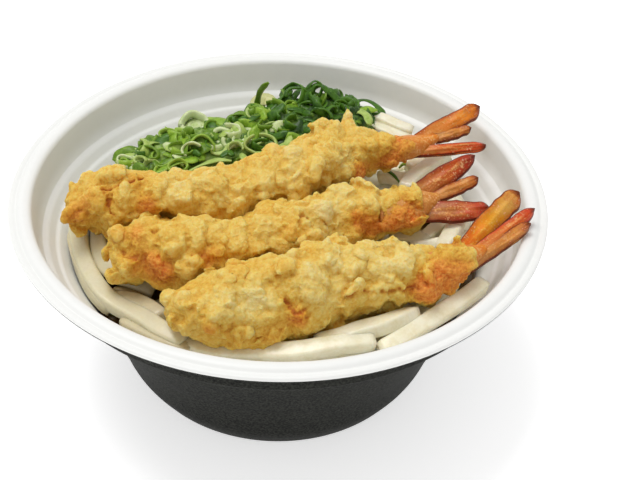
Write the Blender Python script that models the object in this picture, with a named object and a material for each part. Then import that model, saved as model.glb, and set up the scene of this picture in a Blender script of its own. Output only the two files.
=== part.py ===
"""Udon noodles in broth with three battered prawns and a heap of sliced green onion, in a foamed bowl.

Metres, +Z up. The origin is under the middle of the bowl's base, on the surface that it stands on.
+X is to the diner's right and +Y points away from the diner. The prawns lie from left to right, and
are named for where they lie: back, middle and front.
"""

import math

import bmesh
import bpy
from mathutils import Vector, noise

MM = 0.001
GAP = 0.35 * MM  # clearance between pieces that touch

# Bowl: a thin foamed shell with a stepped wall, a broad flange and a low foot
RIM_RADIUS = 90 * MM
RIM_HEIGHT = 70 * MM
CREST_RISE = 1.2 * MM
FLANGE_WIDTH = 7.7 * MM
FLANGE_THICKNESS = 1.9 * MM
LIP_BEVEL = 0.7 * MM
STEP_DEPTH = 12.6 * MM  # from the rim down to the ledge inside
LEDGE_RADIUS = 80.4 * MM
LEDGE_WIDTH = 2.8 * MM
LEDGE_FALL = 1.4 * MM  # how much the ledge slopes down across its width
SHEET = 1.6 * MM
# Height and radius of the wall's inside, from the ledge down
WALL = [(50 * MM, 70.8 * MM), (24.5 * MM, 59.8 * MM), (16 * MM, 56.7 * MM), (8 * MM, 54.3 * MM)]
FLOOR_HEIGHT = 3.0 * MM
FLOOR_RADIUS = 49.5 * MM
FOOT_RADIUS = 51.2 * MM
FOOT_ROUND = 2.4 * MM
FOOT_WIDTH = 5 * MM
FOOT_DEPTH = 1.0 * MM
BOWL_SEGMENTS = 52

# Broth and noodles
BROTH_LEVEL = 46.0 * MM
BROTH_UNDER_NOODLES = 7 * MM
BROTH_SIDE = 7 * MM  # width of the broth between the sunk noodles and the wall
NOODLE_TOP = 54.5 * MM  # usual height of the noodles along the wall
NOODLE_LIFT = 5.5 * MM  # how much higher they lie at the back on the right
NOODLE_RELIEF = 1.5 * MM
NOODLE_SIZE = 13 * MM  # spacing of the relief, about two noodles
WALL_CLEARANCE = 0.6 * MM
HOLLOW_ANGLE = math.radians(220)  # where the noodles leave the wall and the broth shows
HOLLOW_SPREAD = math.radians(11)
HOLLOW_DEPTH = 5 * MM
HEAP_SEGMENTS = 48

# Prawns: centre line and radius of the batter, from the head end to the tail
BATTER_SIDES = 17
BATTER_STATIONS = 21
BATTER_LUMP = 4.0 * MM
BATTER_LUMP_SIZE = 11 * MM
SHELL_SIDES = 12
SHELL_STATIONS = 5
BLADE_SIDES = 6
BLADE_STATIONS = 7
BLADE_THICKNESS = 1.5 * MM

# Each row is x, y and z of the centre line and the radius there, in millimetres. A blade is x, y and z
# of its tip, its half width and how far it is turned about its own length, in degrees.
PRAWNS = {
    "back": {
        "batter": [
            (-68.5, -18.0, 66.5, 4.5),
            (-58.5, -11.0, 68.0, 12.0),
            (-33.0, -9.6, 69.0, 11.2),
            (-7.0, -1.2, 70.0, 11.3),
            (6.0, 9.5, 71.0, 12.6),
            (20.5, 20.5, 71.0, 10.6),
            (35.4, 22.0, 71.5, 6.8),
        ],
        "shell": [
            (34.0, 22.0, 71.4, 5.8),
            (42.0, 22.3, 72.2, 5.4),
            (48.0, 24.8, 73.0, 5.3),
            (53.0, 27.0, 74.3, 4.2),
        ],
        "blades": [
            (68.5, 40.0, 80.0, 3.6, 0),
            (65.7, 31.8, 77.0, 1.9, 20),
            (70.0, 23.5, 75.0, 2.3, 50),
        ],
    },
    "middle": {
        "batter": [
            (-52.5, -26.0, 65.0, 5.0),
            (-45.0, -29.0, 65.0, 11.5),
            (-31.0, -31.0, 65.0, 13.0),
            (-11.0, -28.5, 65.0, 12.4),
            (7.5, -18.8, 66.0, 12.2),
            (24.0, -9.0, 66.5, 10.6),
            (35.0, -8.6, 67.5, 7.8),
        ],
        "shell": [
            (33.5, -8.6, 67.4, 6.6),
            (41.5, -7.8, 68.0, 6.6),
            (47.0, -5.6, 69.0, 5.8),
            (52.0, -4.3, 70.2, 4.4),
        ],
        "blades": [
            (65.0, 12.0, 78.0, 3.3, 0),
            (66.0, 3.4, 75.0, 3.0, 15),
            (68.8, -8.3, 71.5, 3.3, 30),
        ],
    },
    "front": {
        "batter": [
            (-32.0, -59.5, 64.0, 6.0),
            (-25.5, -57.5, 64.0, 9.6),
            (-10.0, -53.0, 64.0, 13.8),
            (9.0, -46.3, 64.0, 15.4),
            (24.0, -39.0, 64.0, 14.8),
            (40.0, -38.6, 66.0, 10.8),
            (50.0, -38.4, 67.0, 9.4),
        ],
        "shell": [
            (48.0, -38.5, 66.8, 7.8),
            (56.0, -37.2, 68.0, 7.8),
            (61.0, -34.2, 69.3, 6.6),
            (65.0, -31.0, 71.0, 4.6),
        ],
        "blades": [
            (78.0, -6.5, 77.0, 3.8, 0),
            (82.6, -13.8, 76.0, 2.7, 20),
            (81.6, -17.8, 74.0, 2.4, 45),
        ],
    },
}

# Green onion: a long mound behind the back prawn, each row as above
ONION_MOUND = [
    (-61.0, 20.0, 57.0, 4.5),
    (-50.0, 23.0, 59.5, 10.0),
    (-34.0, 30.0, 61.5, 13.0),
    (-12.0, 37.5, 63.0, 13.5),
    (5.0, 47.5, 65.0, 14.0),
    (20.0, 51.5, 64.5, 12.0),
    (33.0, 52.0, 62.0, 6.0),
]
ONION_FLATNESS = 0.6
ONION_SIDES = 16
ONION_STATIONS = 16
ONION_LUMP = 5.0 * MM
ONION_LUMP_SIZE = 9 * MM


def material(name, colour, roughness, metallic=0.0):
    made = bpy.data.materials.new(name)
    made.use_nodes = True
    shader = made.node_tree.nodes["Principled BSDF"]
    shader.inputs["Base Color"].default_value = (*colour, 1)
    shader.inputs["Roughness"].default_value = roughness
    shader.inputs["Metallic"].default_value = metallic
    return made


def new_object(name, bm, finish):
    """An object from a bmesh whose faces are made to point out, shaded smooth but for its edges.

    It is made of triangles, so that a lumpy piece and its cutter bend along the same lines.
    """
    bmesh.ops.recalc_face_normals(bm, faces=bm.faces)
    bmesh.ops.triangulate(bm, faces=bm.faces)
    mesh = bpy.data.meshes.new(name)
    bm.to_mesh(mesh)
    bm.free()
    mesh.shade_smooth()
    mesh.set_sharp_from_angle(angle=math.radians(40))
    mesh.materials.append(finish)
    made = bpy.data.objects.new(name, mesh)
    bpy.context.scene.collection.objects.link(made)
    return made


def between(low, high, share):
    return low + (high - low) * share


def interpolate(rows, at):
    """The second value of sorted (key, value) rows at a key, in straight lines."""
    rows = sorted(rows)
    for (low, start), (high, end) in zip(rows, rows[1:]):
        if at <= high:
            return between(start, end, max(0.0, (at - low) / (high - low)))
    return rows[-1][1]


def smooth_path(rows, count):
    """count points with radii on a smooth curve through rows, given in millimetres."""
    points = [Vector(row) * MM for row in rows]
    ends = [points[0] * 2 - points[1], *points, points[-1] * 2 - points[-2]]
    spans = len(points) - 1
    found = []
    for step in range(count):
        place = step * spans / (count - 1)
        span = min(int(place), spans - 1)
        t = place - span
        a, b, c, d = ends[span : span + 4]
        slope_in = (c - a) / 2
        slope_out = (d - b) / 2
        found.append(
            b * (2 * t**3 - 3 * t**2 + 1)
            + slope_in * (t**3 - 2 * t**2 + t)
            + c * (3 * t**2 - 2 * t**3)
            + slope_out * (t**3 - t**2)
        )
    return found


def turned(bm, profile, segments):
    """A closed body turned about Z from a profile that starts and ends on the axis."""
    loose = [bm.verts.new((radius, 0, height)) for radius, height in profile]
    edges = [bm.edges.new(pair) for pair in zip(loose, loose[1:])]
    bmesh.ops.spin(
        bm,
        geom=loose + edges,
        cent=(0, 0, 0),
        axis=(0, 0, 1),
        angle=math.tau,
        steps=segments,
        use_merge=True,
    )
    bmesh.ops.remove_doubles(bm, verts=bm.verts, dist=0.01 * MM)


def close_rings(bm, rings):
    """Joins rings of vertices, each as long as the last, and closes both ends."""
    for low, high in zip(rings, rings[1:]):
        for k in range(len(low)):
            j = (k + 1) % len(low)
            bm.faces.new((low[k], low[j], high[j], high[k]))
    for ring, order in ((rings[0], -1), (rings[-1], 1)):
        middle = bm.verts.new(sum((v.co for v in ring), Vector()) / len(ring))
        for k in range(len(ring)):
            pair = (ring[k], ring[(k + 1) % len(ring)])
            bm.faces.new((middle, *pair[::order]))


def loft(bm, path, sides, lump=0.0, lump_size=1.0, flatness=1.0):
    """A tube along a path of points with radii, flattened in height and made lumpy."""
    rings = []
    for k, point in enumerate(path):
        centre = point.xyz
        ahead = path[min(k + 1, len(path) - 1)].xyz - path[max(k - 1, 0)].xyz
        side = ahead.cross(Vector((0, 0, 1))).normalized()
        up = side.cross(ahead).normalized()
        ring = []
        for n in range(sides):
            turn = math.tau * n / sides
            out = side * math.cos(turn) + up * math.sin(turn) * flatness
            place = centre + out * point.w
            share = min(1.0, point.w / (8 * MM))
            place += out * lump * share * noise.noise(place / lump_size)
            ring.append(bm.verts.new(place))
        rings.append(ring)
    close_rings(bm, rings)


def swollen_cutter(source, gap):
    """A hidden copy of an object as it now is, grown by a gap, to cut its neighbours with."""
    graph = bpy.context.evaluated_depsgraph_get()
    mesh = bpy.data.meshes.new_from_object(source.evaluated_get(graph))
    normals = [vertex.normal.copy() for vertex in mesh.vertices]
    for vertex, normal in zip(mesh.vertices, normals):
        vertex.co += normal * gap
    made = bpy.data.objects.new(source.name + "_cutter", mesh)
    bpy.context.scene.collection.objects.link(made)
    made.hide_render = True
    made.display_type = "WIRE"
    return made


def cut(target, cutter):
    modifier = target.modifiers.new("cut by " + cutter.name, "BOOLEAN")
    modifier.operation = "DIFFERENCE"
    modifier.solver = "EXACT"
    modifier.object = cutter


def inside_profile():
    """(height, radius) of the bowl's inner surface, from the crest down."""
    return [
        (RIM_HEIGHT + CREST_RISE * 0.5, RIM_RADIUS - FLANGE_WIDTH),
        (RIM_HEIGHT - STEP_DEPTH + LEDGE_FALL, LEDGE_RADIUS),
        (RIM_HEIGHT - STEP_DEPTH, LEDGE_RADIUS - LEDGE_WIDTH),
        *WALL,
        (FLOOR_HEIGHT, FLOOR_RADIUS),
    ]


def inside_radius(height):
    return interpolate(inside_profile(), height)


def make_bowl():
    rim_inside = RIM_RADIUS - FLANGE_WIDTH
    ledge = RIM_HEIGHT - STEP_DEPTH
    inside = [(radius, height) for height, radius in inside_profile()]
    foot_inside = FOOT_RADIUS - FOOT_WIDTH
    outside = [
        (0, FOOT_DEPTH),
        (foot_inside - FOOT_DEPTH, FOOT_DEPTH),
        (foot_inside, 0),
        (FOOT_RADIUS, 0),
        (FOOT_RADIUS + FOOT_ROUND, FOOT_ROUND),
        *((radius + SHEET, height) for height, radius in reversed(WALL)),
        (LEDGE_RADIUS - LEDGE_WIDTH + SHEET, ledge - SHEET * 0.6),
        (LEDGE_RADIUS + SHEET, ledge + LEDGE_FALL - SHEET),
        (rim_inside + SHEET * 0.7, RIM_HEIGHT - FLANGE_THICKNESS),
        (RIM_RADIUS - LIP_BEVEL, RIM_HEIGHT - FLANGE_THICKNESS),
        (RIM_RADIUS, RIM_HEIGHT - FLANGE_THICKNESS + LIP_BEVEL),
        (RIM_RADIUS, RIM_HEIGHT),
        (rim_inside + SHEET * 1.2, RIM_HEIGHT + CREST_RISE),
    ]
    bm = bmesh.new()
    turned(bm, [*outside, *inside, (0, FLOOR_HEIGHT)], BOWL_SEGMENTS)
    return new_object("bowl", bm, material("white foam", (0.86, 0.87, 0.85), 0.55))


def hollow(angle):
    """How far the noodles stand back from the wall at an angle."""
    off = math.remainder(angle - HOLLOW_ANGLE, math.tau) / HOLLOW_SPREAD
    return HOLLOW_DEPTH * math.exp(-off * off)


def noodle_top(x, y):
    """Height of the noodles: higher at the back on the right, and uneven all over."""
    towards = (x + y) / (2 * RIM_RADIUS)
    lift = NOODLE_LIFT * max(0.0, min(1.0, towards * 1.6))
    relief = NOODLE_RELIEF * noise.noise(Vector((x, y, 0)) / NOODLE_SIZE)
    return NOODLE_TOP + lift + relief


def make_noodle_heap():
    """Sunk in the broth below its level, out to the wall above it, and closed by its uneven top."""
    sunk_floor = FLOOR_HEIGHT + BROTH_UNDER_NOODLES
    sunk = [between(sunk_floor, BROTH_LEVEL, share) for share in (0, 0.5, 1)]
    spread = BROTH_LEVEL + 3.5 * MM
    shares = (0.96, 0.84, 0.7, 0.55, 0.4, 0.25, 0.12)
    bm = bmesh.new()
    angles = [math.tau * k / HEAP_SEGMENTS for k in range(HEAP_SEGMENTS)]

    def ring(radius_at, height_at):
        made = []
        for angle in angles:
            radius = radius_at(angle)
            x = radius * math.cos(angle)
            y = radius * math.sin(angle)
            made.append(bm.verts.new((x, y, height_at(x, y))))
        return made

    rings = []
    for height in sunk:
        side = inside_radius(height) - BROTH_SIDE
        rings.append(ring(lambda angle, r=side: r - hollow(angle) * 0.5, lambda x, y, h=height: h))
    edge = inside_radius(spread) - WALL_CLEARANCE
    rings.append(ring(lambda angle: edge - hollow(angle), lambda x, y: spread))
    for share in shares:
        rings.append(ring(lambda angle, s=share: (edge - hollow(angle)) * s, noodle_top))
    close_rings(bm, rings)
    return new_object("noodle_heap", bm, material("noodles", (0.80, 0.74, 0.56), 0.4))


def make_broth():
    """Fills the bowl up to its level. The noodles are cut out of it later."""
    bottom = FLOOR_HEIGHT + GAP
    heights = [bottom, WALL[-1][0], WALL[-2][0], WALL[-3][0], BROTH_LEVEL]
    side = [(inside_radius(height) - GAP, height) for height in heights]
    bm = bmesh.new()
    turned(bm, [(0, bottom), *side, (0, BROTH_LEVEL)], HEAP_SEGMENTS)
    return new_object("broth", bm, material("soy broth", (0.16, 0.075, 0.03), 0.1))


def make_batter(name, rows, finish):
    bm = bmesh.new()
    path = smooth_path(rows, BATTER_STATIONS)
    loft(bm, path, BATTER_SIDES, BATTER_LUMP, BATTER_LUMP_SIZE)
    return new_object("prawn_" + name + "_batter", bm, finish)


def blade(bm, root, tip, half_width, turn):
    """A flat tail paddle, widest past its middle, turned about its own length."""
    along = tip - root
    side = Vector((0, 0.6, 0.8))
    side = (side - along * side.dot(along) / along.length_squared).normalized()
    flat = along.cross(side).normalized()
    wide = side * math.cos(turn) + flat * math.sin(turn)
    thin = along.cross(wide).normalized()
    rings = []
    for k in range(BLADE_STATIONS):
        share = k / (BLADE_STATIONS - 1)
        width = half_width * (0.35 + 0.65 * math.sin(math.pi * min(1, share * 0.72 + 0.08)))
        if k == BLADE_STATIONS - 1:
            width *= 0.45
        ring = []
        for n in range(BLADE_SIDES):
            angle = math.tau * n / BLADE_SIDES
            offset = wide * math.cos(angle) * width
            offset += thin * math.sin(angle) * BLADE_THICKNESS / 2
            ring.append(bm.verts.new(root + along * share + offset))
        rings.append(ring)
    close_rings(bm, rings)


def make_tail(name, shell_rows, blades, finish):
    """The bare end of the shell and its fan of paddles, joined into one body."""
    bm = bmesh.new()
    shell = smooth_path(shell_rows, SHELL_STATIONS)
    loft(bm, shell, SHELL_SIDES)
    tail = new_object("prawn_" + name + "_tail", bm, finish)
    root = shell[-1].xyz.lerp(shell[-2].xyz, 0.35)
    for k, (x, y, z, half_width, turn) in enumerate(blades):
        bm = bmesh.new()
        blade(bm, root, Vector((x, y, z)) * MM, half_width * MM, math.radians(turn))
        paddle = new_object(tail.name + f"_paddle_{k + 1}", bm, finish)
        paddle.hide_render = True
        paddle.display_type = "WIRE"
        join = tail.modifiers.new("paddle", "BOOLEAN")
        join.operation = "UNION"
        join.solver = "EXACT"
        join.object = paddle
    return tail


def make_onion_heap():
    bm = bmesh.new()
    path = smooth_path(ONION_MOUND, ONION_STATIONS)
    loft(bm, path, ONION_SIDES, ONION_LUMP, ONION_LUMP_SIZE, ONION_FLATNESS)
    return new_object("onion_heap", bm, material("green onion", (0.10, 0.28, 0.04), 0.4))


def main():
    for old in list(bpy.data.objects):
        bpy.data.objects.remove(old)
    golden = material("fried batter", (0.72, 0.45, 0.14), 0.6)
    orange = material("cooked prawn shell", (0.55, 0.13, 0.03), 0.35)
    make_bowl()
    broth = make_broth()
    noodles = make_noodle_heap()
    onion = make_onion_heap()
    batters = {}
    tails = {}
    for name, rows in PRAWNS.items():
        batters[name] = make_batter(name, rows["batter"], golden)
        tails[name] = make_tail(name, rows["shell"], rows["blades"], orange)
    resting = [onion, *batters.values(), *tails.values()]
    cutters = {thing.name: swollen_cutter(thing, GAP) for thing in resting}
    cut(batters["middle"], cutters[batters["front"].name])
    cut(batters["back"], cutters[batters["middle"].name])
    cut(onion, cutters[batters["back"].name])
    for name, tail in tails.items():
        cut(tail, cutters[batters[name].name])
    for cutter in cutters.values():
        cut(noodles, cutter)
    cut(broth, swollen_cutter(noodles, GAP))


main()
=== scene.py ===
# %% [markdown]
# # Udon with three prawn tempura and spring onion
# The real thing is a takeaway meal. A thin foam bowl, white inside and charcoal outside, holds square-cut
# wheat noodles in dark broth, with three battered prawns side by side and a ridge of cut spring onion.
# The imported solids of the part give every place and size. They come in first and are never moved, and each
# visible piece is then made again over them, with its finer shape and a finish of its own.

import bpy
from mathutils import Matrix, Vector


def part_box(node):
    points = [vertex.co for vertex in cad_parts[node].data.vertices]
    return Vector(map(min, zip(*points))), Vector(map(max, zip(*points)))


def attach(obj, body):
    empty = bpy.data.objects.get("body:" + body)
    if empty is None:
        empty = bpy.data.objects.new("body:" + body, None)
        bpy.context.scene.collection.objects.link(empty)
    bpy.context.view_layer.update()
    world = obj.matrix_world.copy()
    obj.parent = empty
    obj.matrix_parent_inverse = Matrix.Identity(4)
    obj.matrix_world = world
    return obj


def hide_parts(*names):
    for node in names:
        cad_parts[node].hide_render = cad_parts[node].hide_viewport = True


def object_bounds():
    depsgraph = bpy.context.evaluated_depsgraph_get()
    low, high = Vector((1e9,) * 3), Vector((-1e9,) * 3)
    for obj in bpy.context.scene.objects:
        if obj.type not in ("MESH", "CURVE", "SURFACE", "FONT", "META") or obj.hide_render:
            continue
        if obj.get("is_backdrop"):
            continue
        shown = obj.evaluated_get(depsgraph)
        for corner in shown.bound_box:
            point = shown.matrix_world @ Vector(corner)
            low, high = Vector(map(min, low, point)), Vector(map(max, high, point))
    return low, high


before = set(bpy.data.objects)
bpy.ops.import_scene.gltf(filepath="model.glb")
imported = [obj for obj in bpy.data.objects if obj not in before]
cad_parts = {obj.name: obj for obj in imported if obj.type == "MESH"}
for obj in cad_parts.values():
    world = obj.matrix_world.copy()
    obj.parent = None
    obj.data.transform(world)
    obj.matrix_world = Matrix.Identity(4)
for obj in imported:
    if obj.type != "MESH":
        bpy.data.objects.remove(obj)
cad_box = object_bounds()
print("packed solids:", ", ".join(sorted(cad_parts)))

# %% Tools
import math
import random

import bmesh
import bpy
import numpy as np
from mathutils import Matrix, Vector, noise
from mathutils.bvhtree import BVHTree
from mathutils.geometry import interpolate_bezier

MM = 0.001
UP = Vector((0, 0, 1))
SEED = 21
chance = random.Random(SEED)  # one seeded source of every random choice
noise.seed_set(SEED)  # vector noise would otherwise start from the clock


def mm(*numbers):
    """A point or a direction given in millimetres."""
    return Vector(numbers) * MM


def mix(low, high, share):
    return low + (high - low) * share


# %% [markdown]
# Shader maths is easier to read as ordinary sums. An output socket is wrapped in a small class, so that
# `1 - mask * 0.5` adds the Math nodes by itself. Everything else goes through one method, which takes the
# kind of node, its settings, and what its sockets hold.

# %% Sums on sockets
class Value:
    """An output socket of a finish, which can be added, multiplied and so on."""

    def __init__(self, finish, socket):
        self.finish = finish
        self.socket = socket

    def sum(self, operation, first, second):
        return self.finish.node("Math", {"operation": operation}, {0: first, 1: second})

    def __add__(self, other):
        return self.sum("ADD", self, other)

    def __sub__(self, other):
        return self.sum("SUBTRACT", self, other)

    def __rsub__(self, other):
        return self.sum("SUBTRACT", other, self)

    def __mul__(self, other):
        return self.sum("MULTIPLY", self, other)

    __radd__ = __add__
    __rmul__ = __mul__


# %% A finish and its nodes
class Finish:
    """A material in the making. Numbers that are the same all over are set on the shader itself."""

    def __init__(self, name, **constants):
        self.material = bpy.data.materials.new(name)
        self.material.use_nodes = True
        self.shader = self.material.node_tree.nodes["Principled BSDF"]
        sockets = {socket.name.lower().replace(" ", "_"): socket for socket in self.shader.inputs}
        for words, value in constants.items():
            self.feed(sockets[words], value)

    def feed(self, socket, value):
        """Links a value to a socket, or sets it there."""
        if isinstance(value, Value):
            self.material.node_tree.links.new(value.socket, socket)
        elif isinstance(value, tuple) and len(value) == 3 and socket.type == "RGBA":
            socket.default_value = (*value, 1)
        else:
            socket.default_value = value

    def node(self, kind, settings, inputs, output=0):
        """Adds any node: its settings first, then what its sockets hold."""
        made = self.material.node_tree.nodes.new("ShaderNode" + kind)
        for name, value in settings.items():
            if name == "stops":
                self.stops(made.color_ramp.elements, value)
            else:
                setattr(made, name, value)
        for name, value in inputs.items():
            self.feed(made.inputs[name], value)
        return Value(self, made.outputs[output])

    def stops(self, elements, stops):
        while len(elements) < len(stops):
            elements.new(1)
        for element, (position, colour) in zip(elements, stops):
            element.position = position
            element.color = (*colour, 1)

    def grain(self, size, detail, stretch=()):
        """Soft random clouds from 0 to 1, as wide as size in metres, narrower or wider along each axis."""
        where = self.node("TexCoord", {}, {}, "Object")
        if stretch:
            where = self.node("Mapping", {}, {"Vector": where, "Scale": stretch})
        return self.node("TexNoise", {}, {"Vector": where, "Scale": 1 / size, "Detail": detail}, "Fac")

    def measure(self, name):
        """A number kept on the points of the mesh."""
        return self.node("Attribute", {"attribute_name": name}, {}, "Fac")

    def ramp(self, share, *stops):
        return self.node("ValToRGB", {"stops": stops}, {"Fac": share}, "Color")

    def mask(self, share, low, high, most=1.0):
        """A grey that rises from black at a low share to its most at a high one."""
        return self.ramp(share, (low, (0, 0, 0)), (high, (most, most, most)))

    def blend(self, share, first, second):
        inputs = {0: share, 6: first, 7: second}
        return self.node("Mix", {"data_type": "RGBA"}, inputs, 2)

    def done(self, colour, roughness=None, height=None, depth=0.0, strength=1.0):
        """Feeds the shader: a colour, a roughness, and a height map as deep as depth in metres."""
        self.feed(self.shader.inputs["Base Color"], colour)
        if roughness is not None:
            self.feed(self.shader.inputs["Roughness"], roughness)
        if height is not None:
            inputs = {"Strength": strength, "Distance": depth, "Height": height}
            self.feed(self.shader.inputs["Normal"], self.node("Bump", {}, inputs, "Normal"))
        print(f"finish {self.material.name}: {len(self.material.node_tree.nodes)} nodes")
        return self.material


# %% [markdown]
# Every piece ends in the same way: its mesh takes its finishes and becomes an object at the origin, it rides
# on the part's one body, and it may stand for some of the imported solids.

# %% Finishing a piece
def piece(name, bm, finishes, nodes=()):
    """Makes the object of a finished bmesh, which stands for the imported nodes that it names."""
    mesh = bpy.data.meshes.new(name)
    bm.to_mesh(mesh)
    bm.free()
    for finish in finishes:
        mesh.materials.append(finish)
    mesh.shade_smooth()
    made = bpy.data.objects.new(name, mesh)
    bpy.context.scene.collection.objects.link(made)
    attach(made, "root")
    if nodes:
        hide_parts(*nodes)
    mesh.calc_loop_triangles()
    print(f"{name}: {len(mesh.loop_triangles)} triangles")


def merged_copy(node):
    """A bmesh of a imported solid, whose loose triangles are joined into one skin."""
    bm = bmesh.new()
    bm.from_mesh(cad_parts[node].data)
    bmesh.ops.remove_doubles(bm, verts=bm.verts, dist=0.01 * MM)
    return bm


# %% [markdown]
# Noodles, stalks and prawn shells are all one cross-section drawn along a curve. A smooth path is laid
# through a few knots. The section's face is then extruded from point to point, and each time it is moved
# into a frame that stays square to the path, so that nothing twists by accident. An extruded face leaves
# its old self behind inside the tube, so that one is taken out.

# %% Drawing a section along a path
def round_corners(bm, corners, offset, segments):
    """Rounds the corners of an outline."""
    bmesh.ops.bevel(
        bm, geom=corners, offset=offset, segments=segments, profile=0.5, affect="VERTICES", material=-1,
    )


def smooth_path(knots, step, easing=0):
    """Points a step apart on a smooth curve through the knots, eased to bend more evenly."""
    ends = [knots[0] * 2 - knots[1], *knots, knots[-1] * 2 - knots[-2]]
    points = [knots[0]]
    for before, start, end, after in zip(ends, ends[1:], ends[2:], ends[3:]):
        lead_out = start + (end - before) / 6
        lead_in = end - (after - start) / 6
        count = max(3, round((end - start).length / step * 3) + 1)
        points += interpolate_bezier(start, lead_out, lead_in, end, count)[1:]
    for _ in range(easing):
        inner = [(a + b * 2 + c) / 4 for a, b, c in zip(points, points[1:], points[2:])]
        points = [points[0], *inner, points[-1]]
    reach = np.cumsum([0.0] + [(b - a).length for a, b in zip(points, points[1:])])
    places = np.linspace(0, reach[-1], max(2, round(reach[-1] / step) + 1))
    columns = [np.interp(places, reach, [point[axis] for point in points]) for axis in range(3)]
    return [Vector(place) for place in zip(*columns)]


def draw_along(points, sizes, section, up=UP, turns=None):
    """A closed skin with the section's outline. sizes are its (width, height) at each point."""
    bm = section()
    face = bm.faces[:][0]
    placed = Matrix()
    for k, point in enumerate(points):
        ahead = (points[min(k + 1, len(points) - 1)] - points[max(k - 1, 0)]).normalized()
        up = (up - ahead * up.dot(ahead)).normalized()
        side = ahead.cross(up)
        turn = Matrix.Rotation(turns[k], 3, ahead) if turns else Matrix.Identity(3)
        width, height = sizes[k]
        columns = Matrix((turn @ side * width / 2, turn @ up * height / 2, ahead))
        here = Matrix.Translation(point) @ columns.transposed().to_4x4()
        if k:
            found = bmesh.ops.extrude_face_region(bm, geom=[face])["geom"]
            if k > 1:
                bmesh.ops.delete(bm, geom=[face], context="FACES_ONLY")
            face = next(e for e in found if isinstance(e, bmesh.types.BMFace))
        bmesh.ops.transform(bm, matrix=here @ placed.inverted(), verts=face.verts)
        placed = here
    bmesh.ops.recalc_face_normals(bm, faces=bm.faces)
    return bm


def rounded_square(corner, segments):
    """One face, 2 across, with rounded corners."""
    bm = bmesh.new()
    bmesh.ops.create_circle(bm, cap_ends=True, segments=4, radius=math.sqrt(2))
    bmesh.ops.rotate(bm, matrix=Matrix.Rotation(math.tau / 8, 3, "Z"), verts=bm.verts)
    round_corners(bm, bm.verts[:], corner, segments)
    return bm


def round_section(sides):
    """One round face, 2 across."""
    bm = bmesh.new()
    bmesh.ops.create_circle(bm, cap_ends=True, segments=sides, radius=1)
    return bm


def add(whole, bm):
    """Joins a finished bmesh into a larger one."""
    mesh = bpy.data.meshes.new("part of a heap")
    bm.to_mesh(mesh)
    bm.free()
    whole.from_mesh(mesh)
    bpy.data.meshes.remove(mesh)


# %% [markdown]
# ## The foam bowl
# The real bowl is thermoformed from one sheet of foam, so it is round everywhere: a wide rim with a shallow
# groove and a crest, a deep step down to two narrow ledges that stiffen it, and a tapering body on a foot. A
# profile turned about the axis gives exactly that. Its corners are rounded before the turn, where each is a
# single point. The outside is printed charcoal and the inside is bare white foam.

# %% White foam
foam = Finish("white foam", roughness=0.42, specular_ior_level=0.4)
beads = foam.grain(2.6 * MM, 1.0)
drift = foam.grain(38 * MM, 1.0)
foam_colour = foam.blend(beads * 0.5 + drift * 0.5, (0.86, 0.865, 0.835), (0.91, 0.91, 0.89))
white_foam = foam.done(foam_colour, height=beads, depth=0.10 * MM, strength=0.35)

# %% Charcoal print
ink = Finish("charcoal print", specular_ior_level=0.06)
speckle = ink.grain(0.75 * MM, 3.0)
bands = ink.grain(2.4 * MM, 2.0, (0.05, 0.05, 1.0))
grit = speckle * 0.75 + bands * 0.25
ink_colour = ink.ramp(grit, (0.38, (0.0020, 0.0022, 0.0016)), (0.62, (0.027, 0.028, 0.023)))
charcoal = ink.done(ink_colour, 0.5 + bands * 0.2, speckle, 0.12 * MM, 0.5)

# %% Turning the bowl
# Each row is (radius, height, rounding) in millimetres, from the middle underneath round to the floor inside.
UNDERSIDE = [(0, 1.0, 0), (45.2, 1.0, 0.5), (46.4, 0, 0.6), (51.0, 0, 1.6), (55.9, 8.0, 3), (58.3, 16.0, 0)]
OUTSIDE = [(61.4, 24.5, 0), (72.4, 50.0, 2.0), (79.0, 56.0, 1.0), (82.2, 57.6, 1.0), (83.6, 68.1, 1.2)]
RIM = [
    (89.2, 68.1, 0.5), (90.0, 69.1, 0.5), (89.7, 70.3, 0.5), (88.2, 70.3, 0.4), (87.4, 69.9, 0.4),
    (85.6, 71.2, 1.2), (82.3, 70.4, 1.4),
]
INSIDE = [
    (81.3, 60.6, 2.4), (79.9, 58.7, 0.9), (77.9, 57.6, 0.8), (75.9, 54.9, 0.5), (74.6, 54.4, 0.6),
    (70.8, 50.0, 2.0), (59.8, 24.5, 0),
]
FLOOR = [(56.7, 16.0, 0), (54.3, 8.0, 3), (50.0, 3.0, 3), (0, 3.0, 0)]
BOWL_STEPS = 160
PRINT_TOP = 69.3  # the charcoal ends at this height, under the rim's edge


def turned(rows, steps):
    """A body turned about the bowl's axis from rows of (radius, height, rounding)."""
    bm = bmesh.new()
    corners = [bm.verts.new(mm(radius, 0, height)) for radius, height, _ in rows]
    for pair in zip(corners, corners[1:]):
        bm.edges.new(pair)
    for corner, (_, _, rounding) in zip(corners, rows):
        if rounding:
            round_corners(bm, [corner], rounding * MM, 4)
    wire = bm.verts[:] + bm.edges[:]
    bmesh.ops.spin(bm, geom=wire, cent=(0, 0, 0), axis=(0, 0, 1), angle=math.tau, steps=steps, use_merge=True)
    bmesh.ops.remove_doubles(bm, verts=bm.verts, dist=0.005 * MM)
    bmesh.ops.recalc_face_normals(bm, faces=bm.faces)
    return bm


bowl = turned([*UNDERSIDE, *OUTSIDE, *RIM, *INSIDE, *FLOOR], BOWL_STEPS)
for face in bowl.faces:
    middle = face.calc_center_median()
    outward = face.normal.xy.dot(middle.xy) > 0 or face.normal.z < -0.5
    face.material_index = int(outward and middle.z < PRINT_TOP * MM)
piece("foam_bowl", bowl, [white_foam, charcoal], ["bowl"])

# %% [markdown]
# ## The broth
# Dark soy broth fills the gaps between the noodles. It is still, so it is flat and mirror-like, and it
# climbs the wall a little where it wets it. Only its top shows, but it is closed all round, as a body of
# liquid is.

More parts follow.
